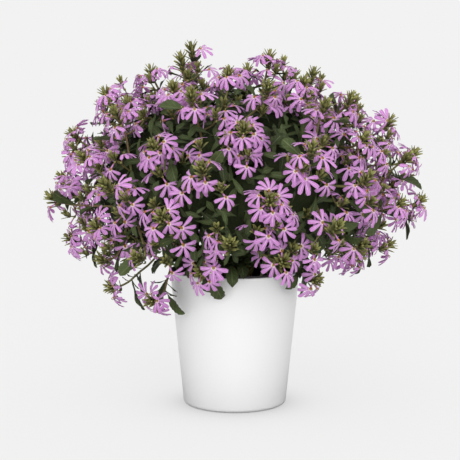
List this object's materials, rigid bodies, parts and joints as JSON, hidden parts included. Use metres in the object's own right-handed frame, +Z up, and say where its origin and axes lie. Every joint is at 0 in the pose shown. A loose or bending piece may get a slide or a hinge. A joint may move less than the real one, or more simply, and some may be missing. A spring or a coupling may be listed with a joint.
{
  "type": "potted fan flower",
  "caption": "Bushy flowering plant: a round mound of leafy stems with fan-shaped purple blooms, in a plain white conical pot.",
  "frame": {"origin": "centre of the pot's flat underside, on the ground", "axes": "+Z up along the pot's axis; the side seen in the picture faces -Y, with +X to its right"},
  "size_m": [0.4727, 0.4486, 0.4577],
  "materials": {
    "pot": "satin",
    "peat": "matte",
    "foliage": "satin",
    "blooms": "matte"
  },
  "bodies": {
    "root": {"pot": "pot", "peat": "peat", "leafy_stem_1": "foliage", "leafy_stem_2": "foliage", "leafy_stem_3": "foliage", "leafy_stem_4": "foliage", "leafy_stem_5": "foliage", "leafy_stem_6": "foliage", "leafy_stem_7": "foliage", "leafy_stem_8": "foliage", "leafy_stem_9": "foliage", "leafy_stem_10": "foliage", "leafy_stem_11": "foliage", "leafy_stem_12": "foliage", "leafy_stem_13": "foliage", "flower_head_1": "blooms", "flower_head_2": "blooms", "flower_head_3": "blooms", "flower_head_4": "blooms", "flower_head_5": "blooms", "flower_head_6": "blooms", "flower_head_7": "blooms", "flower_head_8": "blooms", "flower_head_9": "blooms", "flower_head_10": "blooms", "flower_head_11": "blooms", "flower_head_12": "blooms", "flower_head_13": "blooms", "flower_head_14": "blooms", "flower_head_15": "blooms", "flower_head_16": "blooms", "flower_head_17": "blooms", "flower_head_18": "blooms", "flower_head_19": "blooms", "flower_head_20": "blooms", "flower_head_21": "blooms", "flower_head_22": "blooms", "flower_head_23": "blooms", "flower_head_24": "blooms", "flower_head_25": "blooms", "flower_head_26": "blooms", "flower_head_27": "blooms", "flower_head_28": "blooms", "flower_head_29": "blooms", "flower_head_30": "blooms", "flower_head_31": "blooms", "flower_head_32": "blooms", "flower_head_33": "blooms", "flower_head_34": "blooms", "flower_head_35": "blooms", "flower_head_36": "blooms", "flower_head_37": "blooms", "flower_head_38": "blooms", "flower_head_39": "blooms", "flower_head_40": "blooms", "flower_head_41": "blooms", "flower_head_42": "blooms", "flower_head_43": "blooms", "flower_head_44": "blooms"}
  },
  "joints": []
}
